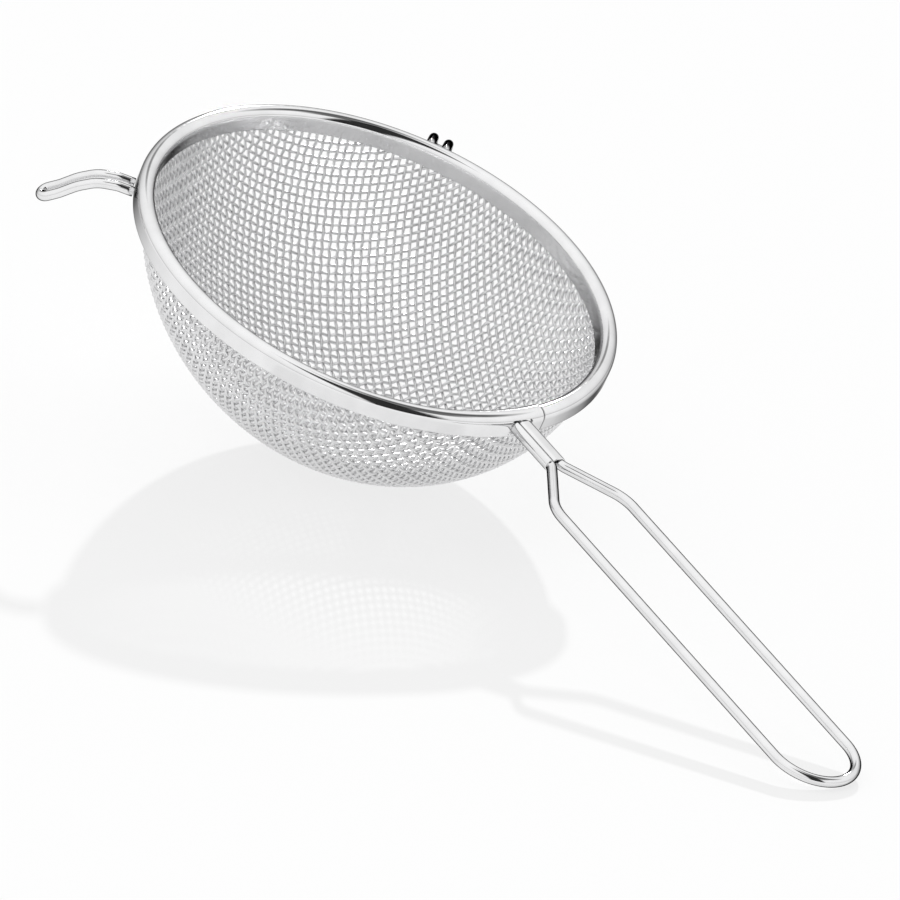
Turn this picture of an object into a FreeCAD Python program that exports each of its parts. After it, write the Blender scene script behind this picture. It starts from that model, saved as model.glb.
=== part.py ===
import FreeCAD, Part
import Sketcher
import math
import os

# Handled wire-mesh tea strainer with two rest hooks.
#
# Every piece is drawn in the "strainer frame": the crest of the rim lies in
# the plane z = 0 with its centre at the origin, +X runs along the handle and
# the bowl hangs towards -Z.  The Placement of each piece then tips the whole
# strainer by rest_tilt about Y, so that it stands the way it is put down on a
# table: on the bowl's bottom and the end of the handle, with z = 0 the table.

V = FreeCAD.Vector
doc = FreeCAD.newDocument("TeaStrainer")

# ---------------------------------------------------------------- dimensions
sheet = doc.addObject("Spreadsheet::Sheet", "dims")
sheet.Label = "dims"
DIMS = [
    ("rim_radius", 40.0),          # outside of the rim band
    ("bead_radius", 1.4),          # outside radius of the rolled crest
    ("band_gauge", 0.3),           # sheet thickness of the rim band
    ("outer_skirt", 3.4),          # outer wall, crest to hem
    ("inner_skirt", 3.7),          # inner wall, crest to hem
    ("lap_gauge", 0.2),            # step where the band end laps over itself
    ("lap_mid_angle", 1.85),       # middle of the lap, degrees from the handle
    ("lap_span", 9.7),             # length of the lap, degrees
    ("lap_corner", 0.9),           # rounded corner of the lapped end
    ("notch_half", 2.15),          # mouth in the outer wall for the ferrule
    ("notch_top", 0.5),            # mouth's top edge below the crest
    ("mesh_outer", 37.93),         # outside of the woven collar in the band
    ("mesh_gauge", 0.4),           # thickness of the shell for the wire cloth
    ("collar_top", 1.3),           # woven collar's upper edge below the crest
    ("bowl_start", 3.6),           # level where the bowl leaves the band
    ("bowl_drop", 28.79),           # depth of the bowl below that level
    ("bowl_power", 1.674),          # fullness of the bowl's side, 2 is an ellipse
    ("bowl_lean", 0.118),          # sideways shift per unit depth, to handle
    ("hoop_radius", 38.82),        # centre line of the hoop in the band
    ("wire_radius", 0.85),         # hoop and handle wire
    ("wire_level", 1.7),           # wire centre line below the crest
    ("twin_half", 0.88),           # half spacing of the wires in the ferrule
    ("entry_bend", 1.5),           # bend from ferrule into the hoop
    ("ferrule_start", 40.1),
    ("ferrule_length", 9.5),
    ("ferrule_gauge", 0.25),
    ("ferrule_slot", 0.16),        # open seam of the wrapped ferrule
    ("ferrule_slot_offset", 0.75), # seam position beside the middle
    ("fan_start", 49.8),           # wires begin to part
    ("fan_end", 59.1),             # wires run parallel from here
    ("loop_half", 7.3),            # half width of the handle, to wire centre
    ("fan_bend", 3.0),
    ("leg_bend", 7.0),
    ("loop_centre", 117.8),        # centre of the round handle end
    ("hook_angle", 129.5),         # rest hooks, degrees from the handle
    ("hook_half", 1.3),            # half spacing of a hook's two legs
    ("hook_radius", 0.8),          # hook wire
    ("rest_tilt", 14.3065),        # handle-down tilt when put down
    ("rest_shift", -41.0253),      # brings the middle of the length to x = 0
    ("rest_lift", 33.4107),        # brings the bowl's foot to z = 0
]
for row, (alias, value) in enumerate(DIMS, start=1):
    sheet.set("A%d" % row, alias)
    sheet.set("B%d" % row, repr(value))
    sheet.setAlias("B%d" % row, alias)
doc.recompute()
D = {alias: float(sheet.get(alias)) for alias, value in DIMS}


def place(obj):
    """Put a piece down on the table with the rest of the strainer."""
    obj.Placement = FreeCAD.Placement(
        V(D["rest_shift"], 0, D["rest_lift"]),
        FreeCAD.Rotation(V(0, 1, 0), D["rest_tilt"]))
    obj.setExpression("Placement.Base.x", "dims.rest_shift")
    obj.setExpression("Placement.Base.z", "dims.rest_lift")
    obj.setExpression("Placement.Rotation.Angle", "dims.rest_tilt")


def new_body(name):
    body = doc.addObject("PartDesign::Body", name)
    body.Label = name
    return body


def origin_plane(body, role):
    for item in body.Origin.OriginFeatures:
        if item.Role == role:
            return item
    raise RuntimeError("no origin plane " + role)


def new_sketch(body, name, role, offset=None):
    sk = body.newObject("Sketcher::SketchObject", name)
    sk.AttachmentSupport = [(origin_plane(body, role), "")]
    sk.MapMode = "FlatFace"
    if offset is not None:
        sk.AttachmentOffset = offset
    return sk


def line(sk, x0, y0, x1, y1):
    return sk.addGeometry(Part.LineSegment(V(x0, y0, 0), V(x1, y1, 0)), False)


def arc(sk, cx, cy, r, a0, a1):
    """Arc from a0 to a1, degrees, counter-clockwise."""
    circle = Part.Circle(V(cx, cy, 0), V(0, 0, 1), r)
    return sk.addGeometry(Part.ArcOfCircle(circle, math.radians(a0),
                                           math.radians(a1)), False)


def bind(sk, constraint, expression):
    index = sk.addConstraint(constraint)
    sk.setExpression("Constraints[%d]" % index, expression)
    return index


# ------------------------------------------------------------------ rim band
# One strip of sheet folded into an upside-down U: tall outer wall, rolled
# crest, inner wall.  It grips the edge of the mesh and the hoop wire.
rim = new_body("rim_band")
band = new_sketch(rim, "band_section", "XZ_Plane")


def band_section(sk, outer, grow, gauge, inner_depth, outer_depth):
    """Closed section of the folded strip; grow is the extra radius."""
    cx = D["rim_radius"] - D["bead_radius"]
    cy = -D["bead_radius"]
    ro = D["bead_radius"] + grow
    ri = ro - gauge
    g0 = line(sk, cx + ro, -outer_depth, cx + ro, cy)
    g1 = arc(sk, cx, cy, ro, 0, 180)
    g2 = line(sk, cx - ro, cy, cx - ro, -inner_depth)
    g3 = line(sk, cx - ro, -inner_depth, cx - ri, -inner_depth)
    g4 = line(sk, cx - ri, -inner_depth, cx - ri, cy)
    g5 = arc(sk, cx, cy, ri, 0, 180)
    g6 = line(sk, cx + ri, cy, cx + ri, -outer_depth)
    g7 = line(sk, cx + ri, -outer_depth, cx + ro, -outer_depth)
    con = Sketcher.Constraint
    sk.addConstraint(con("Coincident", g0, 2, g1, 1))
    sk.addConstraint(con("Coincident", g1, 2, g2, 1))
    sk.addConstraint(con("Coincident", g2, 2, g3, 1))
    sk.addConstraint(con("Coincident", g3, 2, g4, 1))
    sk.addConstraint(con("Coincident", g4, 2, g5, 2))
    sk.addConstraint(con("Coincident", g5, 1, g6, 1))
    sk.addConstraint(con("Coincident", g6, 2, g7, 1))
    sk.addConstraint(con("Coincident", g7, 2, g0, 1))
    sk.addConstraint(con("Coincident", g1, 3, g5, 3))
    for g in (g0, g2, g4, g6):
        sk.addConstraint(con("Vertical", g))
    for g in (g3, g7):
        sk.addConstraint(con("Horizontal", g))
    sk.addConstraint(con("Horizontal", g1, 1, g1, 2))
    sk.addConstraint(con("Horizontal", g1, 3, g1, 1))
    sk.addConstraint(con("Horizontal", g5, 3, g5, 1))
    sk.addConstraint(con("Horizontal", g5, 3, g5, 2))
    bind(sk, con("DistanceX", -1, 1, g1, 3, cx),
         "dims.rim_radius - dims.bead_radius")
    bind(sk, con("DistanceY", g1, 3, -1, 1, -cy), "dims.bead_radius")
    return g0, g1, g2, g5, con


g0, g1, g2, g5, con = band_section(band, D["rim_radius"], 0.0,
                                   D["band_gauge"], D["inner_skirt"],
                                   D["outer_skirt"])
bind(band, con("Radius", g1, D["bead_radius"]), "dims.bead_radius")
bind(band, con("Radius", g5, D["bead_radius"] - D["band_gauge"]),
     "dims.bead_radius - dims.band_gauge")
bind(band, con("DistanceY", g2, 2, -1, 1, D["inner_skirt"]),
     "dims.inner_skirt")
bind(band, con("DistanceY", g0, 1, -1, 1, D["outer_skirt"]),
     "dims.outer_skirt")
doc.recompute()

rim_turn = rim.newObject("PartDesign::Revolution", "band_turn")
rim_turn.Profile = band
rim_turn.ReferenceAxis = (band, ["V_Axis"])
rim_turn.Angle = 360.0
band.Visibility = False
doc.recompute()

# The visible end of the strip lies on top of the other end beside the
# handle; its lower corner is rounded.
lap = new_sketch(rim, "lap_section", "XZ_Plane",
                 FreeCAD.Placement(V(0, 0, 0),
                                   FreeCAD.Rotation(V(0, 1, 0),
                                                    D["lap_mid_angle"])))
lap.setExpression("AttachmentOffset.Rotation.Angle", "dims.lap_mid_angle")
h0, h1, h2, h5, con = band_section(lap, D["rim_radius"], D["lap_gauge"],
                                   D["lap_gauge"] + 0.05, 1.9,
                                   D["outer_skirt"])
bind(lap, con("Radius", h1, D["bead_radius"] + D["lap_gauge"]),
     "dims.bead_radius + dims.lap_gauge")
bind(lap, con("Radius", h5, D["bead_radius"] - 0.05),
     "dims.bead_radius - 0.05")
bind(lap, con("DistanceY", h2, 2, -1, 1, 1.9), "dims.bead_radius + 0.5")
bind(lap, con("DistanceY", h0, 1, -1, 1, D["outer_skirt"]),
     "dims.outer_skirt")
doc.recompute()
lap_turn = rim.newObject("PartDesign::Revolution", "lap_turn")
lap_turn.Profile = lap
lap_turn.ReferenceAxis = (lap, ["V_Axis"])
lap_turn.Angle = D["lap_span"]
lap_turn.Midplane = True
lap_turn.setExpression("Angle", "dims.lap_span")
lap.Visibility = False
doc.recompute()

# Mouth in the outer wall where the twin wires and the ferrule enter.
mouth = new_sketch(rim, "mouth_outline", "YZ_Plane",
                   FreeCAD.Placement(V(0, 0, 39.0), FreeCAD.Rotation()))
m = [line(mouth, -D["notch_half"], -5.0, D["notch_half"], -5.0),
     line(mouth, D["notch_half"], -5.0, D["notch_half"], -D["notch_top"]),
     line(mouth, D["notch_half"], -D["notch_top"], -D["notch_half"],
          -D["notch_top"]),
     line(mouth, -D["notch_half"], -D["notch_top"], -D["notch_half"], -5.0)]
for i in range(4):
    mouth.addConstraint(con("Coincident", m[i], 2, m[(i + 1) % 4], 1))
for i in (0, 2):
    mouth.addConstraint(con("Horizontal", m[i]))
for i in (1, 3):
    mouth.addConstraint(con("Vertical", m[i]))
bind(mouth, con("DistanceX", -1, 1, m[1], 1, D["notch_half"]),
     "dims.notch_half")
bind(mouth, con("DistanceX", m[3], 1, -1, 1, D["notch_half"]),
     "dims.notch_half")
bind(mouth, con("DistanceY", m[2], 1, -1, 1, D["notch_top"]),
     "dims.notch_top")
mouth.addConstraint(con("DistanceY", m[0], 1, -1, 1, 5.0))
doc.recompute()
before = rim_turn.Shape.Volume
lap_volume = lap_turn.Shape.Volume
cut = rim.newObject("PartDesign::Pocket", "mouth_cut")
cut.Profile = mouth
cut.Length = 3.0
cut.Reversed = True
mouth.Visibility = False
doc.recompute()
if cut.Shape.Volume > lap_volume - 1.0:
    raise RuntimeError("the mouth cuts nothing: %.2f of %.2f"
                       % (cut.Shape.Volume, lap_volume))

# Rounded lower corner of the lapped end.
corner = None
end_angle = math.radians(D["lap_mid_angle"] + D["lap_span"] / 2.0)
target = V(40.1 * math.cos(end_angle), 40.1 * math.sin(end_angle),
           -D["outer_skirt"])
for i, edge in enumerate(cut.Shape.Edges, start=1):
    if edge.Length < 0.5 and (edge.CenterOfMass - target).Length < 0.2:
        corner = "Edge%d" % i
if corner is not None:
    soft = rim.newObject("PartDesign::Fillet", "lap_round")
    soft.Base = (cut, [corner])
    soft.Radius = D["lap_corner"]
    soft.setExpression("Radius", "dims.lap_corner")
    doc.recompute()
    if "Invalid" in soft.State or soft.Shape.isNull() \
            or not soft.Shape.isValid():
        rim.removeObject(soft)
        doc.removeObject("lap_round")
        rim.Tip = cut
        doc.recompute()
        print("lap corner left square")
else:
    print("lap corner edge not found")
place(rim)

# --------------------------------------------------------------- frame wire
# A single wire makes the handle loop, runs as a close pair through the
# ferrule and turns left and right into the rim band, where it is the hoop.
# Half of it is swept and then mirrored.
frame = new_body("frame_wire")
spine = new_sketch(frame, "wire_centre_line", "XY_Plane",
                   FreeCAD.Placement(V(0, 0, -D["wire_level"]),
                                     FreeCAD.Rotation()))
spine.setExpression("AttachmentOffset.Base.z", "-dims.wire_level")

xu, wl = D["loop_centre"], D["loop_half"]
y0 = D["twin_half"]
ax, bx = D["fan_start"], D["fan_end"]
slope = math.atan2(wl - y0, bx - ax)
# leg bend, between the parallel leg and the fanned run
rl = D["leg_bend"]
tl = rl * math.tan(slope / 2.0)
leg_c = (bx + tl, wl - rl)
leg_s = (bx - tl * math.cos(slope), wl - tl * math.sin(slope))
# fan bend, between the fanned run and the twin run
rf = D["fan_bend"]
tf = rf * math.tan(slope / 2.0)
fan_c = (ax - tf, y0 + rf)
fan_s = (ax + tf * math.cos(slope), y0 + tf * math.sin(slope))
# entry bend, from the twin run into the hoop
re_, rh = D["entry_bend"], D["hoop_radius"]
ex = math.sqrt((rh + re_) ** 2 - (y0 + re_) ** 2)
theta = math.degrees(math.atan2(y0 + re_, ex))

w = [
    arc(spine, xu, 0, wl, 0, 90),
    line(spine, xu, wl, bx + tl, wl),
    arc(spine, leg_c[0], leg_c[1], rl, 90, 90 + math.degrees(slope)),
    line(spine, leg_s[0], leg_s[1], fan_s[0], fan_s[1]),
    arc(spine, fan_c[0], fan_c[1], rf, 270, 270 + math.degrees(slope)),
    line(spine, ax - tf, y0, ex, y0),
    arc(spine, ex, y0 + re_, re_, 180 + theta, 270),
    arc(spine, 0, 0, rh, theta, 180),
]
con = Sketcher.Constraint
for a, ea, b, eb in ((0, 2, 1, 1), (1, 2, 2, 1), (2, 2, 3, 1), (3, 2, 4, 2),
                     (4, 1, 5, 1), (5, 2, 6, 2), (6, 1, 7, 1)):
    spine.addConstraint(con("Tangent", w[a], ea, w[b], eb))
spine.addConstraint(con("PointOnObject", w[0], 3, -1))
spine.addConstraint(con("PointOnObject", w[0], 1, -1))
spine.addConstraint(con("Coincident", w[7], 3, -1, 1))
spine.addConstraint(con("PointOnObject", w[7], 2, -1))
spine.addConstraint(con("Horizontal", w[1]))
spine.addConstraint(con("Horizontal", w[5]))
bind(spine, con("Radius", w[0], wl), "dims.loop_half")
bind(spine, con("Radius", w[2], rl), "dims.leg_bend")
bind(spine, con("Radius", w[4], rf), "dims.fan_bend")
bind(spine, con("Radius", w[6], re_), "dims.entry_bend")
bind(spine, con("Radius", w[7], rh), "dims.hoop_radius")
bind(spine, con("DistanceX", -1, 1, w[0], 3, xu), "dims.loop_centre")
bind(spine, con("DistanceY", -1, 1, w[5], 1, y0), "dims.twin_half")
spine.addConstraint(con("DistanceX", -1, 1, w[3], 1, leg_s[0]))
doc.recompute()
print("wire sketch state", spine.State, "solve", spine.solve())

round_ = new_sketch(frame, "wire_section", "XZ_Plane")
c = round_.addGeometry(Part.Circle(V(xu + wl, -D["wire_level"], 0),
                                   V(0, 0, 1), D["wire_radius"]), False)
bind(round_, con("Radius", c, D["wire_radius"]), "dims.wire_radius")
bind(round_, con("DistanceX", -1, 1, c, 3, xu + wl),
     "dims.loop_centre + dims.loop_half")
bind(round_, con("DistanceY", c, 3, -1, 1, D["wire_level"]),
     "dims.wire_level")
doc.recompute()
pipe = frame.newObject("PartDesign::AdditivePipe", "wire_half")
pipe.Profile = round_
pipe.Spine = (spine, [])
spine.Visibility = False
round_.Visibility = False
doc.recompute()
length = sum(e.Length for e in spine.Shape.Edges)
expected = math.pi * D["wire_radius"] ** 2 * length
print("half wire length %.2f volume %.2f expected %.2f"
      % (length, pipe.Shape.Volume, expected))
if abs(pipe.Shape.Volume - expected) > 0.02 * expected:
    raise RuntimeError("wire sweep has the wrong volume")
twin = frame.newObject("PartDesign::Mirrored", "wire_mirror")
twin.Originals = [pipe]
twin.MirrorPlane = (origin_plane(frame, "XZ_Plane"), [""])
frame.Tip = twin
doc.recompute()
if twin.Shape.Volume < 1.95 * expected:
    raise RuntimeError("the wire's second half is missing")
place(frame)

# ------------------------------------------------------------ handle ferrule
# A strip of sheet wrapped round the two wires, closed to a flat oval tube
# with an open seam on top.
ferrule = new_body("handle_ferrule")
oval = new_sketch(ferrule, "ferrule_section", "YZ_Plane",
                  FreeCAD.Placement(V(0, 0, D["ferrule_start"]),
                                    FreeCAD.Rotation()))
oval.setExpression("AttachmentOffset.Base.z", "dims.ferrule_start")
zc = -D["wire_level"]
inner = D["wire_radius"] + 0.03


def stadium(sk, half, rad, z):
    top = line(sk, half, z + rad, -half, z + rad)
    left = arc(sk, -half, z, rad, 90, 270)
    bottom = line(sk, -half, z - rad, half, z - rad)
    right = arc(sk, half, z, rad, 270, 90)
    c_ = Sketcher.Constraint
    sk.addConstraint(c_("Tangent", top, 2, left, 1))
    sk.addConstraint(c_("Tangent", left, 2, bottom, 1))
    sk.addConstraint(c_("Tangent", bottom, 2, right, 1))
    sk.addConstraint(c_("Tangent", right, 2, top, 1))
    sk.addConstraint(c_("Horizontal", top))
    bind(sk, c_("DistanceX", -1, 1, right, 3, half), "dims.twin_half")
    bind(sk, c_("DistanceX", left, 3, -1, 1, half), "dims.twin_half")
    bind(sk, c_("DistanceY", right, 3, -1, 1, -z), "dims.wire_level")
    return left


outer_left = stadium(oval, D["twin_half"], inner + D["ferrule_gauge"], zc)
bind(oval, con("Radius", outer_left, inner + D["ferrule_gauge"]),
     "dims.wire_radius + 0.03 + dims.ferrule_gauge")
inner_left = stadium(oval, D["twin_half"], inner, zc)
bind(oval, con("Radius", inner_left, inner), "dims.wire_radius + 0.03")
doc.recompute()
tube = ferrule.newObject("PartDesign::Pad", "ferrule_tube")
tube.Profile = oval
tube.Length = D["ferrule_length"]
tube.setExpression("Length", "dims.ferrule_length")
oval.Visibility = False
doc.recompute()
seam = new_sketch(ferrule, "ferrule_seam", "XY_Plane")
s0 = D["ferrule_start"] - 1.0
s1 = D["ferrule_start"] + D["ferrule_length"] + 1.0
sy = -D["ferrule_slot_offset"]
sw = D["ferrule_slot"] / 2.0
q = [line(seam, s0, sy - sw, s1, sy - sw), line(seam, s1, sy - sw, s1, sy + sw),
     line(seam, s1, sy + sw, s0, sy + sw), line(seam, s0, sy + sw, s0, sy - sw)]
for i in range(4):
    seam.addConstraint(con("Coincident", q[i], 2, q[(i + 1) % 4], 1))
for i in (0, 2):
    seam.addConstraint(con("Horizontal", q[i]))
for i in (1, 3):
    seam.addConstraint(con("Vertical", q[i]))
bind(seam, con("DistanceY", q[1], 1, q[1], 2, 2 * sw), "dims.ferrule_slot")
bind(seam, con("DistanceY", q[1], 2, -1, 1, -(sy + sw)),
     "dims.ferrule_slot_offset - dims.ferrule_slot / 2")
seam.addConstraint(con("DistanceX", -1, 1, q[0], 1, s0))
seam.addConstraint(con("DistanceX", -1, 1, q[0], 2, s1))
doc.recompute()
slot = ferrule.newObject("PartDesign::Pocket", "seam_cut")
slot.Profile = seam
slot.Length = D["wire_level"] - 0.2
slot.Reversed = False
seam.Visibility = False
doc.recompute()
if slot.Shape.Volume > tube.Shape.Volume - 0.1:
    slot.Reversed = True
    doc.recompute()
if not (0.1 < tube.Shape.Volume - slot.Shape.Volume < 1.5):
    raise RuntimeError("ferrule seam is wrong: %.3f"
                       % (tube.Shape.Volume - slot.Shape.Volume))
place(ferrule)


# ---------------------------------------------------------------- mesh bowl
# Woven wire cloth, drawn as a closed thin shell: a collar held
# in the band and a deep bowl whose lowest point lies towards the handle.
def bowl_solid(a, b, z0, n, lean):
    count = 22
    pts = []
    for i in range(count + 1):
        ph = 0.5 * math.pi * i / count
        pts.append(V(a * math.cos(ph), 0,
                     z0 - b * math.sin(ph) ** (2.0 / n)))
    pts[-1] = V(0, 0, z0 - b)
    curve = Part.BSplineCurve()
    curve.interpolate(Points=pts, InitialTangent=V(0, 0, -1),
                      FinalTangent=V(-1, 0, 0))
    edges = [curve.toShape(), Part.makeLine(pts[-1], V(0, 0, z0)),
             Part.makeLine(V(0, 0, z0), pts[0])]
    solid = Part.Face(Part.Wire(edges)).revolve(V(0, 0, 0), V(0, 0, 1), 360)
    shear = FreeCAD.Matrix()
    shear.A13 = -lean
    shear.A14 = lean * z0
    return solid.transformGeometry(shear)


z0 = -D["bowl_start"]
mo, mg = D["mesh_outer"], D["mesh_gauge"]
cap_out = bowl_solid(mo, D["bowl_drop"], z0, D["bowl_power"], D["bowl_lean"])
cap_in = bowl_solid(mo - mg, D["bowl_drop"] - mg, z0, D["bowl_power"],
                    D["bowl_lean"])
collar = Part.makeCylinder(mo, D["bowl_start"] - D["collar_top"],
                           V(0, 0, z0)).cut(
    Part.makeCylinder(mo - mg, 5.0, V(0, 0, z0 - 1.0)))
shell = cap_out.cut(cap_in)
whole = shell.fuse(collar).removeSplitter()
if len(whole.Solids) != 1:
    raise RuntimeError("mesh bowl is %d solids" % len(whole.Solids))
# The cloth stands on the several wire crossings round its lowest point, not
# on one point: the shell gets a foot 0.075 mm deep and about 5 mm wide where
# it meets the table.
below = Part.makeBox(40, 40, 10, V(-56, -20, -10))
below.Placement = FreeCAD.Placement(
    V(D["rest_shift"], 0, D["rest_lift"]),
    FreeCAD.Rotation(V(0, 1, 0), D["rest_tilt"])).inverse()
footed = whole.cut(below)
if len(footed.Solids) != 1:
    raise RuntimeError("footed bowl is %d solids" % len(footed.Solids))
mesh = doc.addObject("Part::Feature", "mesh_bowl")
mesh.Label = "mesh_bowl"
mesh.Shape = footed.Solids[0]
place(mesh)


# --------------------------------------------------------------- rest hooks
# Each hook is a hairpin of wire: two legs butted to the outer wall of the
# band, rising a little, then curving down, joined by a round end.
HOOK_PATH = [(39.2, -2.62, 0.0), (42.8, -2.52, 4.5), (46.0, -3.10, 6.0),
             (48.7, -4.95, 9.0), (50.9, -7.20, 8.0), (52.35, -8.35, 0.0)]


def rounded_leg(path, side, out, along):
    """Edges of one leg: straight runs joined by tangent arcs."""
    pts = [out * r + along * side + V(0, 0, z) for r, z, bend in path]
    edges = []
    last = pts[0]
    for i in range(1, len(pts) - 1):
        a = (pts[i - 1] - pts[i]).normalize()
        b = (pts[i + 1] - pts[i]).normalize()
        turn = math.pi - a.getAngle(b)
        cutback = path[i][2] * math.tan(turn / 2.0)
        p = pts[i] + a * cutback
        q_ = pts[i] + b * cutback
        bis = (a + b).normalize()
        mid = pts[i] + bis * (path[i][2] / math.cos(turn / 2.0)
                              - path[i][2])
        edges.append(Part.makeLine(last, p))
        edges.append(Part.Arc(p, mid, q_).toShape())
        last = q_
    edges.append(Part.makeLine(last, pts[-1]))
    return edges, pts


def hook_solid(angle):
    """Hook standing out from the band at this angle from the handle."""
    half, rad = D["hook_half"], D["hook_radius"]
    turn = math.radians(angle)
    out = V(math.cos(turn), math.sin(turn), 0)
    along = V(-math.sin(turn), math.cos(turn), 0)
    near, pn = rounded_leg(HOOK_PATH, -half, out, along)
    far, pf = rounded_leg(HOOK_PATH, half, out, along)
    run = (pn[-1] - pn[-2]).normalize()
    tip = (pn[-1] + pf[-1]) * 0.5 + run * half
    bow = Part.Arc(pn[-1], tip, pf[-1]).toShape()
    path = Part.Wire(Part.__sortEdges__(near + [bow] + far))
    start = (pn[1] - pn[0]).normalize()
    ring = Part.Wire([Part.Circle(pn[0], start, rad).toShape()])
    solid = path.makePipeShell([ring], True, False)
    if solid.Volume < 0:
        solid.reverse()
    wanted = math.pi * rad ** 2 * path.Length
    print("hook path %.2f volume %.2f expected %.2f"
          % (path.Length, solid.Volume, wanted))
    if abs(solid.Volume - wanted) > 0.02 * wanted:
        raise RuntimeError("hook sweep has the wrong volume")
    # the legs end on the band's outer wall
    wall = Part.makeCylinder(D["rim_radius"], 12.0, V(0, 0, -8.0))
    return solid.cut(wall)


for name, angle in (("rest_hook_left", D["hook_angle"]),
                    ("rest_hook_right", -D["hook_angle"])):
    shape = hook_solid(angle)
    if len(shape.Solids) != 1:
        raise RuntimeError("hook is %d solids" % len(shape.Solids))
    shape = shape.Solids[0]
    hook = doc.addObject("Part::Feature", name)
    hook.Label = name
    hook.Shape = shape
    place(hook)

# ------------------------------------------------------------ check and write
doc.recompute()
for obj in doc.Objects:
    if "Invalid" in obj.State or "Error" in obj.State:
        raise RuntimeError("%s: %s" % (obj.Name, obj.State))
NODES = [rim, frame, ferrule, mesh, doc.getObject("rest_hook_left"),
         doc.getObject("rest_hook_right")]
os.makedirs("parts", exist_ok=True)
for obj in NODES:
    shape = obj.Shape
    if shape.isNull() or not shape.isValid() or len(shape.Solids) != 1:
        raise RuntimeError("%s: bad shape" % obj.Label)
for obj in NODES:
    shape = obj.Shape
    b = shape.optimalBoundingBox(False, True)
    print("%-18s volume %9.2f  x %.2f %.2f  y %.2f %.2f  z %.2f %.2f"
          % (obj.Label, shape.Volume, b.XMin, b.XMax, b.YMin, b.YMax,
             b.ZMin, b.ZMax))
    shape.exportStep("parts/%s.step" % obj.Label)
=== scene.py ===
import math

import bpy
import numpy as np
from mathutils import Matrix, Vector


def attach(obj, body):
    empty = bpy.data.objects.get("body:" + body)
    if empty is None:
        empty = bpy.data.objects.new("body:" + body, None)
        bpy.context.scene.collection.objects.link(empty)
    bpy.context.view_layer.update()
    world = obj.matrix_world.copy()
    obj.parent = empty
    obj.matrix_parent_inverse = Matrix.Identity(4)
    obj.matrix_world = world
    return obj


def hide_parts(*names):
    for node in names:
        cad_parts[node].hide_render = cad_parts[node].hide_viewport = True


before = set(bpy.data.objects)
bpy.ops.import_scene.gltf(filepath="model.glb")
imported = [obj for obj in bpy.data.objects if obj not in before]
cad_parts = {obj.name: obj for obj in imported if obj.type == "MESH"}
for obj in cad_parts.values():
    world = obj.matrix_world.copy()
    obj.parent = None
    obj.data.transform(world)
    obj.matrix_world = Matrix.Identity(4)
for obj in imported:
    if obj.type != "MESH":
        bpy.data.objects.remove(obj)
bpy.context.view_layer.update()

# ---------------------------------------------------------------- dimensions
# Millimetres in the strainer's own frame: the rim's crest lies in z = 0 round
# the origin, the handle runs towards +X and the bowl hangs towards -Z.
RIM_R = 40.0
BEAD_R = 1.4
GAUGE = 0.3
OUTER_SKIRT = 3.4
INNER_SKIRT = 3.7
LAP_GAUGE = 0.28
LAP_FROM, LAP_TO = math.radians(-3.0), math.radians(6.7)
LAP_CORNER = 0.9
NOTCH_HALF, NOTCH_TOP = 2.15, 0.5
WIRE_R, WIRE_Z = 0.848, -1.7
HOOP_R, TWIN = 38.82, 0.88
ENTRY = 1.5
FERRULE_X0, FERRULE_X1 = 40.1, 49.6
FERRULE_GAUGE = 0.25
SEAM_Y, SEAM_W = -0.75, 0.24
FAN0, FAN1, LOOP_HALF = 49.8, 59.1, 7.3
FAN_BEND, LEG_BEND, LOOP_X = 3.0, 7.0, 117.8
HOOK_ANGLE, HOOK_HALF, HOOK_R = 129.5, 1.3, 0.795
HOOK_PATH = [(39.2, -2.62, 0), (42.8, -2.52, 4.5), (46.0, -3.10, 6.0), (48.7, -4.95, 9.0), (50.9, -7.20, 8.0), (52.35, -8.35, 0)]
BOWL_Z, BOWL_N, BOWL_LEAN = -3.6, 1.674, 0.118
CLOTH_WIRE, PITCH = 0.50, 1.32
WOVEN_A, WOVEN_B = 37.43, 28.20          # middle surface of the cloth
WEAVE_ANGLE = math.radians(68.0)
CLOTH_TOP = -2.3

TILT_C, TILT_S = 0.968988, 0.247109
SHIFT, LIFT = -41.0253, 33.4107


def placed(p):
    """Strainer-frame millimetres to row-frame metres."""
    p = np.asarray(p, float)
    x, y, z = p[..., 0], p[..., 1], p[..., 2]
    return np.stack([x * TILT_C + z * TILT_S + SHIFT, y, -x * TILT_S + z * TILT_C + LIFT], -1) / 1000.0


# ---------------------------------------------------------------- mesh helpers
def mesh_object(name, verts, faces, smooth=True, loop_starts=None):
    me = bpy.data.meshes.new(name)
    me.from_pydata([tuple(v) for v in placed(verts)], [], faces)
    me.update()
    me.validate()
    if smooth:
        me.shade_smooth()
    ob = bpy.data.objects.new(name, me)
    bpy.context.scene.collection.objects.link(ob)
    return ob


def quad_mesh(name, verts, quads):
    """A mesh of quads from numpy arrays, shaded smooth."""
    me = bpy.data.meshes.new(name)
    n = len(quads)
    me.vertices.add(len(verts))
    me.vertices.foreach_set("co", placed(verts).astype(np.float32).ravel())
    me.loops.add(4 * n)
    me.loops.foreach_set("vertex_index", quads.astype(np.int32).ravel())
    me.polygons.add(n)
    me.polygons.foreach_set("loop_start", np.arange(0, 4 * n, 4, dtype=np.int32))
    me.update(calc_edges=True)
    me.shade_smooth()
    ob = bpy.data.objects.new(name, me)
    bpy.context.scene.collection.objects.link(ob)
    return ob


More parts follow.
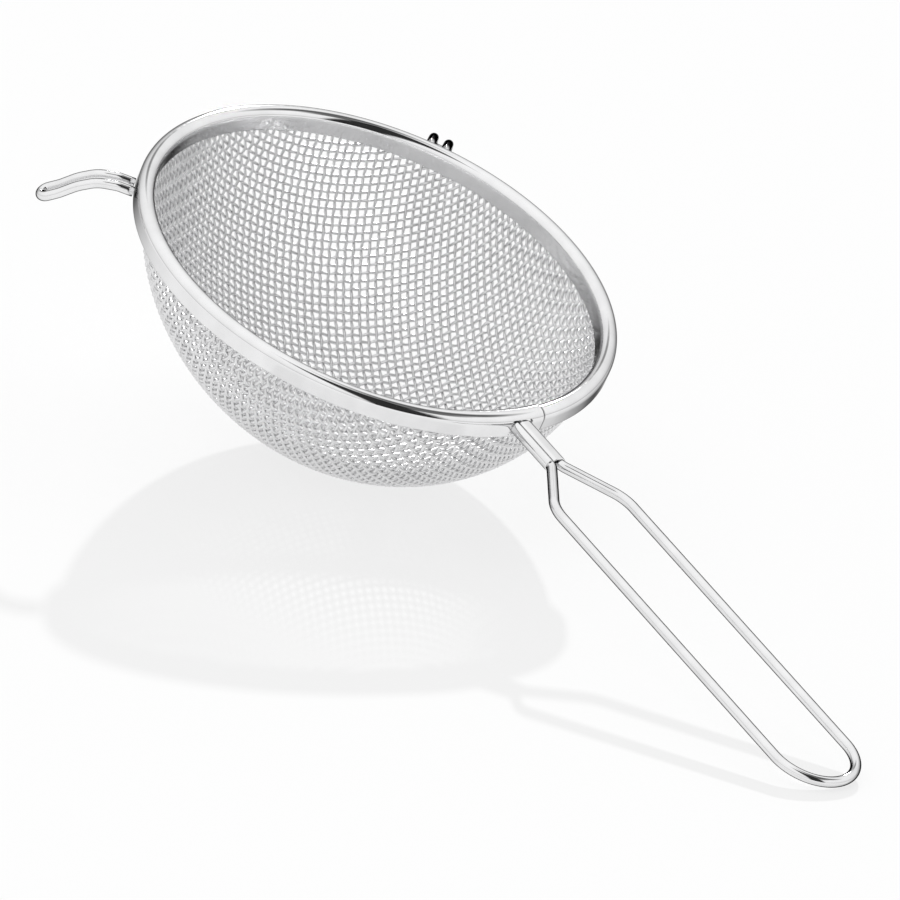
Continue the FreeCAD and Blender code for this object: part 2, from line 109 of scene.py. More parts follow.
def tube(name, path, radius, sides=28, closed=False, cap=True):
    """A round wire along a dense path, its frame carried along without twist."""
    P = np.asarray(path, float)
    n = len(P)
    if closed:
        T = np.roll(P, -1, 0) - np.roll(P, 1, 0)
    else:
        T = np.gradient(P, axis=0)
    T /= np.linalg.norm(T, axis=1)[:, None]
    N = np.zeros_like(P)
    ref = np.array([0, 0, 1.0])
    ref = ref - T[0] * ref.dot(T[0])
    N[0] = ref / np.linalg.norm(ref)
    for i in range(1, n):
        v = N[i - 1] - T[i] * N[i - 1].dot(T[i])
        N[i] = v / np.linalg.norm(v)
    B = np.cross(T, N)
    a = np.linspace(0, 2 * math.pi, sides, endpoint=False)
    V = P[:, None, :] + radius * (np.cos(a)[None, :, None] * N[:, None, :] + np.sin(a)[None, :, None] * B[:, None, :])
    V = V.reshape(-1, 3)
    i = np.arange(n if closed else n - 1)[:, None]
    j = np.arange(sides)[None, :]
    i2, j2 = (i + 1) % n, (j + 1) % sides
    Q = np.stack([i * sides + j, i * sides + j2, i2 * sides + j2, i2 * sides + j], -1).reshape(-1, 4)
    faces = [tuple(int(k) for k in q) for q in Q]
    if cap and not closed:
        faces.append(tuple(range(sides - 1, -1, -1)))
        faces.append(tuple((n - 1) * sides + k for k in range(sides)))
    return mesh_object(name, V, faces)


def rounded(points, radii, step=0.25):
    """A dense path through points, each inner corner rounded to its radius."""
    pts = [np.array(p, float) for p in points]
    out = [pts[0]]
    for k in range(1, len(pts) - 1):
        p, r = pts[k], radii[k]
        a = pts[k - 1] - p
        b = pts[k + 1] - p
        a /= np.linalg.norm(a)
        b /= np.linalg.norm(b)
        half = math.acos(max(-1, min(1, float(a.dot(b))))) / 2
        if r <= 0 or half > math.pi / 2 - 1e-4:
            out.append(p)
            continue
        d = r / math.tan(half)
        m = (a + b) / np.linalg.norm(a + b)
        c = p + m * (r / math.sin(half))
        u = (p + a * d - c) / r
        v = (p + b * d - c) / r
        w = math.acos(max(-1, min(1, float(u.dot(v)))))
        k2 = max(4, int(r * w / step * 2))
        for t in np.linspace(0, 1, k2):
            out.append(c + r * (math.sin((1 - t) * w) * u + math.sin(t * w) * v) / math.sin(w))
    out.append(pts[-1])
    dense = [out[0]]
    for p, q in zip(out, out[1:]):
        n = max(1, int(math.ceil(np.linalg.norm(q - p) / 1.5)))
        for t in range(1, n + 1):
            dense.append(p + (q - p) * t / n)
    keep = [dense[0]]
    for p in dense[1:]:
        if np.linalg.norm(p - keep[-1]) > 1e-4:
            keep.append(p)
    return np.array(keep)


# ---------------------------------------------------------------- rim band
def band_section(offset=0.0):
    """Closed (r, z) loop of the folded band, and which of its points lie on the outer wall and bead's outer half."""
    c_r, c_z = RIM_R - BEAD_R, -BEAD_R
    ro = BEAD_R + offset - 0.004
    pts, face = [], []
    edge = 0.10
    # outer wall, from its rolled lower edge upwards
    for t in np.linspace(-math.pi / 2, 0, 5):
        pts.append((c_r + ro - edge + edge * math.cos(t), -OUTER_SKIRT + edge + edge * math.sin(t)))
    for z in np.linspace(-OUTER_SKIRT + 2 * edge, c_z, 12)[1:-1]:
        pts.append((c_r + ro, z))
    for t in np.linspace(0, math.pi, 49):
        pts.append((c_r + ro * math.cos(t), c_z + ro * math.sin(t)))
    for z in np.linspace(c_z, -INNER_SKIRT + 2 * edge, 10)[1:-1]:
        pts.append((c_r - ro, z))
    for t in np.linspace(math.pi, 1.5 * math.pi, 5):
        pts.append((c_r - ro + edge + edge * math.cos(t), -INNER_SKIRT + edge + edge * math.sin(t)))
    outer = len(pts)
    # inner face of the sheet
    ri = BEAD_R - GAUGE + 1.4 * offset
    pts.append((c_r - ri, -INNER_SKIRT))
    for z in np.linspace(-INNER_SKIRT, c_z, 8)[1:-1]:
        pts.append((c_r - ri, z))
    for t in np.linspace(math.pi, 0, 25):
        pts.append((c_r + ri * math.cos(t), c_z + ri * math.sin(t)))
    for z in np.linspace(c_z, -OUTER_SKIRT, 8)[1:-1]:
        pts.append((c_r + ri, z))
    pts.append((c_r + ri, -OUTER_SKIRT))
    return np.array(pts), outer, ro, ri


def notch_depth(theta):
    """Level of the mouth's top edge where the wires leave, or None beside it."""
    y = RIM_R * math.sin(theta)
    if abs(y) >= NOTCH_HALF:
        return None
    corner = 0.6
    d = NOTCH_HALF - abs(y)
    rise = NOTCH_TOP
    if d < corner:
        rise = NOTCH_TOP + corner - math.sqrt(max(0.0, corner ** 2 - (corner - d) ** 2))
    return -rise


def make_rim():
    """One strip, folded over the hoop and run round until its free end laps over its start beside the handle."""
    e = math.asin(NOTCH_HALF / RIM_R)
    turn = 2 * math.pi
    end = turn + LAP_TO
    th = np.concatenate([
        np.linspace(math.radians(1.0), math.radians(12.0), 40),
        np.linspace(math.radians(12.0), turn - e, 860)[1:],
        np.linspace(turn - e, turn + e, 81)[1:],
        np.linspace(turn + e, end - LAP_CORNER / RIM_R, 24)[1:],
        end - (LAP_CORNER / RIM_R) * (1 - np.sin(np.linspace(0, math.pi / 2, 26)))[1:],
    ])
    V = []
    for t in th:
        k = min(1.0, max(0.0, (t - (turn - math.radians(26.0))) / math.radians(23.0)))
        off = LAP_GAUGE * k * k * (3 - 2 * k)
        tip = (end - t) * RIM_R
        if tip < 0.3:
            off -= 0.26 * (1 - math.sqrt(max(0.0, 1 - (1 - tip / 0.3) ** 2)))
        s, outer, ro, ri = band_section(off)
        low = None
        if t > turn - e - 1e-6:
            low = notch_depth(t - turn)
        d = (end - t) * RIM_R
        if d < LAP_CORNER:
            rise = -OUTER_SKIRT + LAP_CORNER - math.sqrt(max(0.0, LAP_CORNER ** 2 - (LAP_CORNER - d) ** 2))
            low = rise if low is None else max(low, rise)
        if low is not None:
            # points below the cut edge gather on it
            c_r, c_z = RIM_R - BEAD_R, -BEAD_R
            for q in range(len(s)):
                if s[q, 0] > c_r and s[q, 1] < low:
                    rr = ro if q < outer else ri
                    if low > c_z:
                        h = min(1.0, (low - c_z) / rr)
                        s[q] = (c_r + rr * math.sqrt(1 - h * h), low)
                    else:
                        s[q] = (c_r + rr, low)
        V.append(np.stack([s[:, 0] * math.cos(t), s[:, 0] * math.sin(t), s[:, 1]], -1))
    V = np.array(V)
    n, m = V.shape[0], V.shape[1]
    i = np.arange(n - 1)[:, None]
    j = np.arange(m)[None, :]
    j2 = (j + 1) % m
    Q = np.stack([i * m + j, (i + 1) * m + j, (i + 1) * m + j2, i * m + j2], -1).reshape(-1, 4)
    ob = quad_mesh("rim_band_visual", V.reshape(-1, 3), Q)
    # painted shade: the base colour is darkened along the gap beside the lap's free end and over the lap's rounded tip,
    # standing in for the shadow in that gap
    beyond = np.abs(th - LAP_TO) * RIM_R
    near = np.where(th < math.radians(15.0), np.clip((0.42 - beyond) / 0.14, 0.0, 1.0), 0.0)
    near = np.maximum(near, np.clip((0.14 - (end - th) * RIM_R) / 0.08, 0.0, 1.0))
    ob.data.attributes.new("painted_gap_shade", "FLOAT", "POINT").data.foreach_set("value", np.repeat(near, m).astype(np.float32))
    # the two ends are closed between the outer and inner faces
    import bmesh
    bm = bmesh.new()
    bm.from_mesh(ob.data)
    bm.verts.ensure_lookup_table()
    _, outer, _, _ = band_section(0.0)
    inner_count = m - outer
    for base in (0, (n - 1) * m):
        for a in range(outer - 1):
            b = outer + (inner_count - 1) - round(a * (inner_count - 1) / (outer - 1))
            b2 = outer + (inner_count - 1) - round((a + 1) * (inner_count - 1) / (outer - 1))
            ring = [base + a, base + a + 1, base + b2, base + b]
            if b == b2:
                ring = ring[:3]
            if base == 0:
                ring = ring[::-1]
            try:
                bm.faces.new([bm.verts[q] for q in ring]).smooth = True
            except ValueError:
                pass
    bmesh.ops.remove_doubles(bm, verts=bm.verts, dist=1e-7)
    bmesh.ops.dissolve_degenerate(bm, edges=bm.edges, dist=1e-8)
    bm.to_mesh(ob.data)
    bm.free()
    ob.data.set_sharp_from_angle(angle=math.radians(42))
    return ob


# ---------------------------------------------------------------- frame wire
def make_frame_wire():
    leg = [(LOOP_X, LOOP_HALF, WIRE_Z), (FAN1, LOOP_HALF, WIRE_Z), (FAN0, TWIN, WIRE_Z)]
    cx = math.sqrt((HOOP_R + ENTRY) ** 2 - (TWIN + ENTRY) ** 2)
    cy = TWIN + ENTRY
    leg.append((cx, TWIN, WIRE_Z))
    straight = rounded(leg, [0, LEG_BEND, FAN_BEND, 0])
    ca = math.atan2(cy, cx)
    bend = []
    a0, a1 = -math.pi / 2, -(math.pi - ca)
    for t in np.linspace(a0, a1, 14)[1:]:
        bend.append((cx + ENTRY * math.cos(t), cy + ENTRY * math.sin(t), WIRE_Z))
    hoop = []
    for t in np.linspace(ca, math.pi, 241)[1:-1]:
        hoop.append((HOOP_R * math.cos(t), HOOP_R * math.sin(t), WIRE_Z))
    half = np.concatenate([straight, np.array(bend), np.array(hoop)])
    top = []
    for t in np.linspace(0, math.pi / 2, 41)[:-1]:
        top.append((LOOP_X + LOOP_HALF * math.cos(t), LOOP_HALF * math.sin(t), WIRE_Z))
    half = np.concatenate([np.array(top), half])
    mid = np.array([[-HOOP_R, 0, WIRE_Z]])
    back = half[1:][::-1] * np.array([1, -1, 1])
    path = np.concatenate([half, mid, back])
    return tube("frame_wire_visual", path, WIRE_R, sides=32, closed=True)


# ---------------------------------------------------------------- ferrule
def make_ferrule():
    """A strip wrapped round both wires, its edges tucked in along a seam on top."""
    ro = WIRE_R + FERRULE_GAUGE
    # outline from the seam's one lip round to the other, as (y, z) with its outward normal
    line = []
    gap = SEAM_W / 2
    straight_top = np.linspace(SEAM_Y + gap, TWIN, 14)
    for y in straight_top:
        line.append((y, ro, 0.0, 1.0))
    for t in np.linspace(math.pi / 2, -math.pi / 2, 33)[1:]:
        line.append((TWIN + ro * math.cos(t), ro * math.sin(t), math.cos(t), math.sin(t)))
    for y in np.linspace(TWIN, -TWIN, 14)[1:]:
        line.append((y, -ro, 0.0, -1.0))
    for t in np.linspace(-math.pi / 2, -3 * math.pi / 2, 33)[1:]:
        line.append((-TWIN + ro * math.cos(t), ro * math.sin(t), math.cos(t), math.sin(t)))
    for y in np.linspace(-TWIN, SEAM_Y - gap, 4)[1:]:
        line.append((y, ro, 0.0, 1.0))
    line = np.array(line)
    m = len(line)

    def dip(y, z):
        """Both lips roll down into the seam."""
        if z <= 0:
            return 0.0
        d = abs(y - SEAM_Y) - gap
        return 0.24 * math.exp(-(max(0.0, d) / 0.20) ** 1.3) if d < 0.8 else 0.0

    xs = np.concatenate([[0, 0.03, 0.09], np.linspace(0.2, FERRULE_X1 - FERRULE_X0 - 0.2, 30), [FERRULE_X1 - FERRULE_X0 - 0.09, FERRULE_X1 - FERRULE_X0 - 0.03, FERRULE_X1 - FERRULE_X0]]) + FERRULE_X0
    V = []
    for k, x in enumerate(xs):
        e = min(x - FERRULE_X0, FERRULE_X1 - x)
        soft = 0.07 * max(0.0, 1 - e / 0.09) ** 2
        for y, z, ny, nz in line:
            V.append((x, y - ny * soft, WIRE_Z + z - nz * soft - dip(y, z)))
    outer = len(V)
    for x in xs:
        for y, z, ny, nz in line:
            V.append((x, y - ny * FERRULE_GAUGE * 0.97, WIRE_Z + z - nz * FERRULE_GAUGE * 0.97 - (dip(y, z) * 0.4)))
    n = len(xs)
    faces = []
    for i in range(n - 1):
        for j in range(m - 1):
            a, b, c, d = i * m + j, i * m + j + 1, (i + 1) * m + j + 1, (i + 1) * m + j
            faces.append((a, b, c, d))
            faces.append((outer + d, outer + c, outer + b, outer + a))
        faces.append((i * m, (i + 1) * m, outer + (i + 1) * m, outer + i * m))
        k = m - 1
        faces.append((i * m + k, outer + i * m + k, outer + (i + 1) * m + k, (i + 1) * m + k))
    for j in range(m - 1):
        faces.append((j, outer + j, outer + j + 1, j + 1))
        k = (n - 1) * m
        faces.append((k + j, k + j + 1, outer + k + j + 1, outer + k + j))
    ob = mesh_object("handle_ferrule_visual", np.array(V), faces)
    ob.data.set_sharp_from_angle(angle=math.radians(50))
    return ob


# ---------------------------------------------------------------- rest hooks
def make_hook(name, angle):
    a = math.radians(angle)
    er = np.array([math.cos(a), math.sin(a), 0.0])
    et = np.array([-math.sin(a), math.cos(a), 0.0])
    ez = np.array([0, 0, 1.0])
    mid = rounded([(r, z, 0) for r, z, _ in HOOK_PATH], [k for _, _, k in HOOK_PATH], step=0.12)
    first = mid[0].copy()
    direction = mid[-1] - mid[-2]
    direction /= np.linalg.norm(direction)
    leg = [er * p[0] + ez * p[1] + et * HOOK_HALF for p in mid]
    bow = []
    for t in np.linspace(math.pi / 2, -math.pi / 2, 25)[1:-1]:
        q = mid[-1] + direction * HOOK_HALF * math.cos(t)
        bow.append(er * q[0] + ez * q[1] + et * HOOK_HALF * math.sin(t))
    other = [er * p[0] + ez * p[1] - et * HOOK_HALF for p in mid[::-1]]
    path = np.array(leg + bow + other)
    # the ends stop against the band's outer wall
    def trim(P):
        r = np.hypot(P[:, 0], P[:, 1])
        k = 0
        while r[k] < RIM_R - 0.05:
            k += 1
        return P[k:]
    path = trim(path)
    path = trim(path[::-1])[::-1]
    return tube(name, path, HOOK_R, sides=28)


# ---------------------------------------------------------------- wire cloth
def surface(P):
    """Implicit value and gradient of the cloth's middle surface."""
    x, y, z = P[..., 0], P[..., 1], P[..., 2]
    d = np.minimum(z - BOWL_Z, 0.0)
    u = np.maximum(-d / WOVEN_B, 0.0)
    xr = x + BOWL_LEAN * d
    f = (xr ** 2 + y ** 2) / WOVEN_A ** 2 + u ** BOWL_N - 1
    below = (z < BOWL_Z).astype(float)
    gx = 2 * xr / WOVEN_A ** 2
    gy = 2 * y / WOVEN_A ** 2
    gz = below * (2 * xr * BOWL_LEAN / WOVEN_A ** 2 - BOWL_N / WOVEN_B * np.maximum(u, 1e-9) ** (BOWL_N - 1))
    return f, np.stack([gx, gy, gz], -1)


def normal(P):
    g = surface(P)[1]
    return g / np.linalg.norm(g, axis=-1, keepdims=True)


def geodesic(start, direction, count, step):
    """Points a step apart along the surface, leaving start in a direction."""
    out = [start]
    p, d = start.copy(), direction / np.linalg.norm(direction)
    sub = 8
    for _ in range(count):
        for _ in range(sub):
            n = normal(p)
            d = d - n * d.dot(n)
            d /= np.linalg.norm(d)
            q = p + d * step / sub
            for _ in range(3):
                f, g = surface(q)
                q = q - g * f / g.dot(g)
            d = q - p
            p = q
        # the whole step is a chord of exactly this length
        q = p
        for _ in range(6):
            v = q - out[-1]
            f, g = surface(q)
            q = q + v * (step / np.linalg.norm(v) - 1)
            f, g = surface(q)
            q = q - g * f / g.dot(g)
        p = q
        out.append(q)
    return np.array(out)


def cloth_net(count):
    """Knots of an equal-sided net laid on the bowl from two wires that cross at its bottom."""
    x0 = BOWL_LEAN * WOVEN_B
    pole = np.array([x0, 0.0, BOWL_Z - WOVEN_B])
    for _ in range(5):
        f, g = surface(pole)
        pole = pole - g * f / g.dot(g)
    n = normal(pole)
    e1 = np.array([math.cos(WEAVE_ANGLE), math.sin(WEAVE_ANGLE), 0.0])
    e1 = e1 - n * e1.dot(n)
    e1 /= np.linalg.norm(e1)
    e2 = np.cross(n, e1)
    size = 2 * count + 1
    N = np.full((size, size, 3), np.nan)
    N[count, count] = pole
    arms = {}
    for key, d in (("+u", e1), ("-u", -e1), ("+v", e2), ("-v", -e2)):
        arms[key] = geodesic(pole, d, count, PITCH)
    for k in range(1, count + 1):
        N[count + k, count] = arms["+u"][k]
        N[count - k, count] = arms["-u"][k]
        N[count, count + k] = arms["+v"][k]
        N[count, count - k] = arms["-v"][k]
    ids = np.arange(1, count + 1)
    for su in (1, -1):
        for sv in (1, -1):
            for s in range(2, 2 * count + 1):
                i = ids[(s - ids >= 1) & (s - ids <= count)]
                j = s - i
                A = N[count + su * i, count + sv * (j - 1)]
                B = N[count + su * (i - 1), count + sv * j]
                O = N[count + su * (i - 1), count + sv * (j - 1)]
                ok = np.isfinite(A[:, 0]) & np.isfinite(B[:, 0]) & np.isfinite(O[:, 0])
                if not ok.any():
                    continue
                i, j, A, B, O = i[ok], j[ok], A[ok], B[ok], O[ok]
                Q = A + B - O
                for _ in range(12):
                    f0, g0 = surface(Q)
                    da, db = Q - A, Q - B
                    F = np.stack([f0 * WOVEN_A / 2, ((da ** 2).sum(-1) - PITCH ** 2) / 2, ((db ** 2).sum(-1) - PITCH ** 2) / 2], -1)
                    J = np.stack([g0 * WOVEN_A / 2, da, db], -2)
                    det = np.linalg.det(J)
                    J = J + np.eye(3)[None] * np.where(np.abs(det) < 1e-6, 1e-3, 0.0)[:, None, None]
                    step = np.linalg.solve(J, F[..., None])[..., 0]
                    size_ = np.linalg.norm(step, axis=-1, keepdims=True)
                    Q = Q - step * np.minimum(1.0, 0.4 / np.maximum(size_, 1e-9))
                good = (np.abs(surface(Q)[0]) < 1e-3) & (np.abs(np.linalg.norm(Q - A, axis=-1) - PITCH) < 0.02) & (np.linalg.norm(Q - O, axis=-1) > 0.45) & (Q[:, 2] < 3.0)
                Q[~good] = np.nan
                N[count + su * i, count + sv * j] = Q
    return N, count


def cloth_wires(N, count, family):
    """Runs of (knots, over/under signs) for one family of wires."""
    size = 2 * count + 1
    runs = []
    for k in range(size):
        line = N[:, k] if family == 0 else N[k, :]
        sign = np.array([(1 if (m + k) % 2 == 0 else -1) for m in range(size)], float)
        if family == 1:
            sign = -sign
        ok = np.isfinite(line[:, 0]) & (line[:, 2] < 1.5)
        m = 0
        while m < size:
            if not ok[m]:
                m += 1
                continue
            a = m
            while m < size and ok[m]:
                m += 1
            if m - a >= 3:
                runs.append((line[a:m], sign[a:m]))
    return runs


def make_cloth(N, count):
    """Six woven pieces: each family of wires in three groups."""
    sides, per = 8, 4
    rad = CLOTH_WIRE / 2
    ang = np.linspace(0, 2 * math.pi, sides, endpoint=False) + math.pi / 6
    pieces = []
    for family in (0, 1):
        runs = cloth_wires(N, count, family)
        third = len(runs) // 3
        groups = [runs[:third], runs[third:2 * third], runs[2 * third:]]
        for half, group in enumerate(groups):
            V, Q, base = [], [], 0
            for knots, sign in group:
                n = len(knots)
                s = np.arange(n, dtype=float)
                t = np.linspace(0, n - 1, (n - 1) * per + 1)
                C = np.empty((len(t), 3))
                idx = np.minimum(t.astype(int), n - 2)
                fr = (t - idx)[:, None]
                p1, p2 = knots[idx], knots[idx + 1]
                p0 = np.where((idx > 0)[:, None], knots[np.maximum(idx - 1, 0)], 2 * p1 - p2)
                p3 = np.where((idx + 2 < n)[:, None], knots[np.minimum(idx + 2, n - 1)], 2 * p2 - p1)
                C = 0.5 * (2 * p1 + (p2 - p0) * fr + (2 * p0 - 5 * p1 + 4 * p2 - p3) * fr ** 2 + (3 * p1 - p0 - 3 * p2 + p3) * fr ** 3)
                nn = normal(C)
                wave = np.cos(math.pi * t) * sign[0]
                # near the band the cloth is pressed flat and bends out behind the inner wall
                k = np.clip((C[:, 2] + 5.2) / 1.4, 0, 1)
                k = k * k * (3 - 2 * k)
                C = C + nn * (wave * rad * 0.98 * (1 - 0.85 * k) + 0.22 * k)[:, None]
                keep = C[:, 2] <= CLOTH_TOP
                # every stretch of three or more points under the band's top is kept
                idxs = np.where(keep)[0]
                if len(idxs) < 3:
                    continue
                splits = np.where(np.diff(idxs) > 1)[0]
                parts = np.split(idxs, splits + 1)
                for part in parts:
                    if len(part) < 3:
                        continue
                    c, q = C[part], nn[part]
                    T = np.gradient(c, axis=0)
                    T /= np.linalg.norm(T, axis=1)[:, None]
                    q = q - T * (q * T).sum(-1, keepdims=True)
                    q /= np.linalg.norm(q, axis=1)[:, None]
                    b = np.cross(T, q)
                    ring = c[:, None, :] + rad * (np.cos(ang)[None, :, None] * q[:, None, :] + np.sin(ang)[None, :, None] * b[:, None, :])
                    m = len(part)
                    V.append(ring.reshape(-1, 3))
                    i = np.arange(m - 1)[:, None]
                    j = np.arange(sides)[None, :]
                    j2 = (j + 1) % sides
                    Q.append(base + np.stack([i * sides + j, i * sides + j2, (i + 1) * sides + j2, (i + 1) * sides + j], -1).reshape(-1, 4))
                    base += m * sides
            pieces.append(quad_mesh(f"wire_cloth_{'ab'[family]}{half + 1}", np.concatenate(V), np.concatenate(Q)))
    return pieces


# ---------------------------------------------------------------- materials
# the second-last number sets a painted shade, how dark the base colour gets where the metal turns from the eye; the
# last is the facing value where that darkening starts
def steel(name, base, spread, rough, rough_spread, scratch, scale, edge, grazing_shade, start):
    m = bpy.data.materials.new(name)
    m.use_nodes = True
    nt = m.node_tree
    nt.nodes.clear()
    out = nt.nodes.new("ShaderNodeOutputMaterial")
    bs = nt.nodes.new("ShaderNodeBsdfPrincipled")
    bs.inputs["Metallic"].default_value = 1.0
    bs.inputs["Specular Tint"].default_value = (edge, edge, edge, 1)
    nt.links.new(bs.outputs[0], out.inputs[0])
    co = nt.nodes.new("ShaderNodeTexCoord")
    broad = nt.nodes.new("ShaderNodeTexNoise")
    broad.inputs["Scale"].default_value = scale
    broad.inputs["Detail"].default_value = 3.0
    nt.links.new(co.outputs["Object"], broad.inputs["Vector"])
    ramp = nt.nodes.new("ShaderNodeValToRGB")
    ramp.color_ramp.elements[0].position = 0.3
    ramp.color_ramp.elements[1].position = 0.72
    lo = [max(0, b - spread) for b in base]
    ramp.color_ramp.elements[0].color = (*lo, 1)
    ramp.color_ramp.elements[1].color = (*base, 1)
    nt.links.new(broad.outputs["Fac"], ramp.inputs["Fac"])
    # painted shade: the base colour is darkened where the metal turns away from the eye, and painted shade darkens the
    # gaps beside lapped edges
    weight = nt.nodes.new("ShaderNodeLayerWeight")
    weight.inputs["Blend"].default_value = 0.5
    turned = nt.nodes.new("ShaderNodeMapRange")
    turned.inputs["From Min"].default_value = start
    turned.inputs["From Max"].default_value = start + 0.22
    turned.inputs["To Min"].default_value = 1.0
    turned.inputs["To Max"].default_value = grazing_shade
    nt.links.new(weight.outputs["Facing"], turned.inputs["Value"])
    # painted shade: the attribute laid along the lap's gap darkens the base colour to near black there
    gap_shade_attribute = nt.nodes.new("ShaderNodeAttribute")
    gap_shade_attribute.attribute_name = "painted_gap_shade"
    gap_shade_darkening = nt.nodes.new("ShaderNodeMapRange")
    gap_shade_darkening.inputs["To Min"].default_value = 1.0
    gap_shade_darkening.inputs["To Max"].default_value = 0.06
    nt.links.new(gap_shade_attribute.outputs["Fac"], gap_shade_darkening.inputs["Value"])
    both = nt.nodes.new("ShaderNodeMath")
    both.operation = "MULTIPLY"
    nt.links.new(turned.outputs["Result"], both.inputs[0])
    nt.links.new(gap_shade_darkening.outputs["Result"], both.inputs[1])
    dim = nt.nodes.new("ShaderNodeMix")
    dim.data_type = "RGBA"
    dim.blend_type = "MULTIPLY"
    dim.inputs["Factor"].default_value = 1.0
    nt.links.new(ramp.outputs["Color"], dim.inputs[6])
    nt.links.new(both.outputs[0], dim.inputs[7])
    nt.links.new(dim.outputs[2], bs.inputs["Base Color"])
    fine = nt.nodes.new("ShaderNodeTexNoise")
    fine.inputs["Scale"].default_value = scale * 6
    fine.inputs["Detail"].default_value = 4.0
    nt.links.new(co.outputs["Object"], fine.inputs["Vector"])
    rr = nt.nodes.new("ShaderNodeMapRange")
    rr.inputs["From Min"].default_value = 0.3
    rr.inputs["From Max"].default_value = 0.7
    rr.inputs["To Min"].default_value = rough
    rr.inputs["To Max"].default_value = rough + rough_spread
    nt.links.new(fine.outputs["Fac"], rr.inputs["Value"])
    nt.links.new(rr.outputs["Result"], bs.inputs["Roughness"])
    if scratch:
        stretch = nt.nodes.new("ShaderNodeMapping")
        stretch.inputs["Scale"].default_value = (400, 2500, 2500)
        nt.links.new(co.outputs["Object"], stretch.inputs["Vector"])
        sc = nt.nodes.new("ShaderNodeTexNoise")
        sc.inputs["Scale"].default_value = 1.0
        sc.inputs["Detail"].default_value = 2.0
        nt.links.new(stretch.outputs["Vector"], sc.inputs["Vector"])
        bump = nt.nodes.new("ShaderNodeBump")
        bump.inputs["Strength"].default_value = scratch
        bump.inputs["Distance"].default_value = 0.00001
        nt.links.new(sc.outputs["Fac"], bump.inputs["Height"])
        nt.links.new(bump.outputs["Normal"], bs.inputs["Normal"])
    return m


POLISHED = steel("polished_steel_look", (0.87, 0.87, 0.875), 0.07, 0.05, 0.05, 0.06, 220.0, 0.12, 0.25, 0.76)
DRAWN = steel("drawn_steel_look", (0.86, 0.86, 0.865), 0.07, 0.06, 0.07, 0.08, 300.0, 0.02, 0.12, 0.46)
CLOTH = steel("wire_cloth_look", (0.86, 0.86, 0.865), 0.07, 0.36, 0.12, 0.0, 350.0, 0.60, 1.0, 0.5)


def dress(ob, mat, slot, *nodes):
    ob.data.materials.clear()
    ob.data.materials.append(mat)
    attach(ob, "root")
    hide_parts(*nodes)
    return ob


dress(make_rim(), POLISHED, "polished_steel", "rim_band")
dress(make_frame_wire(), DRAWN, "polished_steel", "frame_wire")
dress(make_ferrule(), POLISHED, "polished_steel", "handle_ferrule")
dress(make_hook("rest_hook_left_visual", HOOK_ANGLE), DRAWN, "polished_steel", "rest_hook_left")
dress(make_hook("rest_hook_right_visual", -HOOK_ANGLE), DRAWN, "polished_steel", "rest_hook_right")
net, half_count = cloth_net(50)
for piece in make_cloth(net, half_count):
    dress(piece, CLOTH, "wire_cloth", "mesh_bowl")
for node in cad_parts.values():
    node.data.materials.clear()
    node.data.materials.append(CLOTH if node.name == "mesh_bowl" else POLISHED)

# ---------------------------------------------------------------- studio
floor_mesh = bpy.data.meshes.new("studio_floor")
floor_mesh.from_pydata([(-6, -6, -0.0002), (6, -6, -0.0002), (6, 6, -0.0002), (-6, 6, -0.0002)], [], [(0, 1, 2, 3)])
floor = bpy.data.objects.new("studio_floor", floor_mesh)
bpy.context.scene.collection.objects.link(floor)
fm = bpy.data.materials.new("studio_floor_look")
fm.use_nodes = True
fb = fm.node_tree.nodes["Principled BSDF"]
fb.inputs["Base Color"].default_value = (0.21, 0.21, 0.21, 1)
fb.inputs["Emission Color"].default_value = (1, 1, 1, 1)
fb.inputs["Emission Strength"].default_value = 0.72
fb.inputs["Roughness"].default_value = 0.9
fb.inputs["Specular IOR Level"].default_value = 0.0
floor_mesh.materials.append(fm)

scene = bpy.context.scene
world = bpy.data.worlds.new("studio")
scene.world = world
world.use_nodes = True
wt = world.node_tree
wt.nodes.clear()
wo = wt.nodes.new("ShaderNodeOutputWorld")
bg = wt.nodes.new("ShaderNodeBackground")
wt.links.new(bg.outputs[0], wo.inputs[0])
tc = wt.nodes.new("ShaderNodeTexCoord")
sx = wt.nodes.new("ShaderNodeSeparateXYZ")
wt.links.new(tc.outputs["Generated"], sx.inputs[0])


def band(source, stops):
    n = wt.nodes.new("ShaderNodeValToRGB")
    r = n.color_ramp
    r.elements[0].position, r.elements[0].color = stops[0][0], (stops[0][1],) * 3 + (1,)
    r.elements[1].position, r.elements[1].color = stops[-1][0], (stops[-1][1],) * 3 + (1,)
    for pos, v in stops[1:-1]:
        e = r.elements.new(pos)
        e.color = (v, v, v, 1)
    wt.links.new(source, n.inputs["Fac"])
    return n.outputs["Color"]


def darken(a, b):
    n = wt.nodes.new("ShaderNodeMix")
    n.data_type = "RGBA"
    n.blend_type = "MULTIPLY"
    n.inputs["Factor"].default_value = 1.0
    wt.links.new(a, n.inputs[6])
    wt.links.new(b, n.inputs[7])
    return n.outputs[2]


def card(azimuth, elevation, inner, outer, value):
    """A round dark card in the white tent, seen only as a reflection."""
    a, e = math.radians(azimuth), math.radians(elevation)
    d = wt.nodes.new("ShaderNodeVectorMath")
    d.operation = "DOT_PRODUCT"
    d.inputs[1].default_value = (math.sin(a) * math.cos(e), -math.cos(a) * math.cos(e), math.sin(e))
    wt.links.new(tc.outputs["Generated"], d.inputs[0])
    return band(d.outputs["Value"], [(0.0, 1.0), (math.cos(math.radians(outer)), 1.0), (math.cos(math.radians(inner)), value), (1.0, value)])


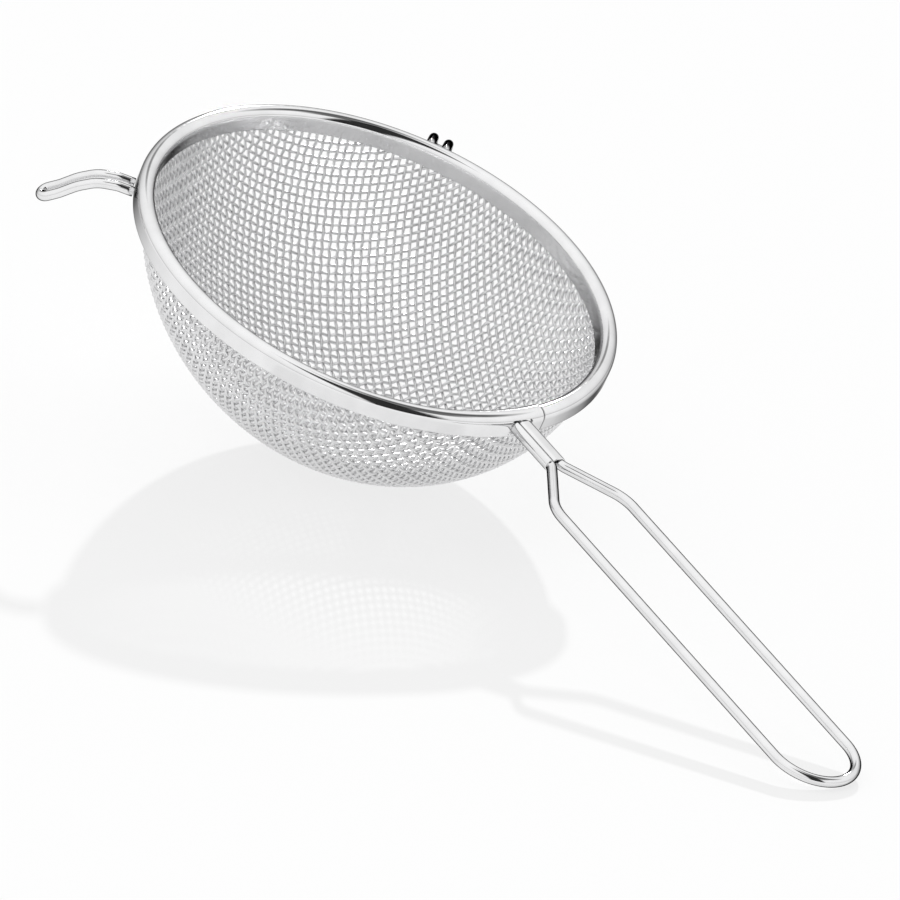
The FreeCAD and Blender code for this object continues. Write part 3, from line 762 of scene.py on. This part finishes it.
def strip(azimuth, half_width, soft, value):
    """A tall dark strip standing at one side of the tent."""
    a = math.radians(azimuth)
    side = wt.nodes.new("ShaderNodeVectorMath")
    side.operation = "DOT_PRODUCT"
    side.inputs[1].default_value = (math.cos(a), math.sin(a), 0.0)
    wt.links.new(tc.outputs["Generated"], side.inputs[0])
    absolute = wt.nodes.new("ShaderNodeMath")
    absolute.operation = "ABSOLUTE"
    wt.links.new(side.outputs["Value"], absolute.inputs[0])
    across = band(absolute.outputs[0], [(0.0, value), (half_width, value), (half_width + soft, 1.0), (1.0, 1.0)])
    front = wt.nodes.new("ShaderNodeVectorMath")
    front.operation = "DOT_PRODUCT"
    front.inputs[1].default_value = (math.sin(a), -math.cos(a), 0.0)
    wt.links.new(tc.outputs["Generated"], front.inputs[0])
    along = band(front.outputs["Value"], [(0.0, 1.0), (0.22, 1.0), (0.34, value), (1.0, value)])
    n = wt.nodes.new("ShaderNodeMix")
    n.data_type = "RGBA"
    n.blend_type = "LIGHTEN"
    n.inputs["Factor"].default_value = 1.0
    wt.links.new(across, n.inputs[6])
    wt.links.new(along, n.inputs[7])
    return n.outputs[2]


sky = band(sx.outputs["Z"], [(0.0, 0.70), (0.05, 0.60), (0.14, 0.90), (0.40, 1.00), (1.0, 1.08)])
sky = darken(sky, strip(78, 0.22, 0.08, 0.03))
sky = darken(sky, card(150, 62, 9, 20, 0.12))
sky = darken(sky, card(112, 54, 5, 12, 0.15))
sky = darken(sky, card(-125, 38, 4, 10, 0.30))
wt.links.new(sky, bg.inputs["Color"])
bg.inputs["Strength"].default_value = 1.0

key = bpy.data.lights.new("key", "SUN")
key.energy = 3.4
key.angle = math.radians(1.6)
ko = bpy.data.objects.new("key", key)
scene.collection.objects.link(ko)
ko.rotation_euler = Vector((0.6683, -0.6173, -0.4151)).to_track_quat("-Z", "Y").to_euler()

scene.view_settings.view_transform = "Standard"
scene.view_settings.look = "None"

# ---------------------------------------------------------------- camera
cam = bpy.data.cameras.new("camera")
cam.sensor_width = 36.0
cam.lens = 400.0
cam.clip_start = 0.05
cam.clip_end = 50.0
camera = bpy.data.objects.new("camera", cam)
scene.collection.objects.link(camera)
CAM_RIGHT = np.array([0.55585859, 0.75357206, 0.35092788])
CAM_UP = np.array([-0.6266424, 0.10246994, 0.77254075])
CAM_BACK = np.array([0.54620557, -0.6493297, 0.529179])
eye = placed(CAM_RIGHT * 10.776 + CAM_UP * -30.091 + CAM_BACK * 1564.0)


def turned(v):
    return [v[0] * TILT_C + v[2] * TILT_S, v[1], -v[0] * TILT_S + v[2] * TILT_C]


rows = np.stack([turned(CAM_RIGHT), turned(CAM_UP), turned(CAM_BACK), eye], 1)
camera.matrix_world = Matrix([[float(v) for v in row] for row in rows] + [[0, 0, 0, 1]])
scene.camera = camera
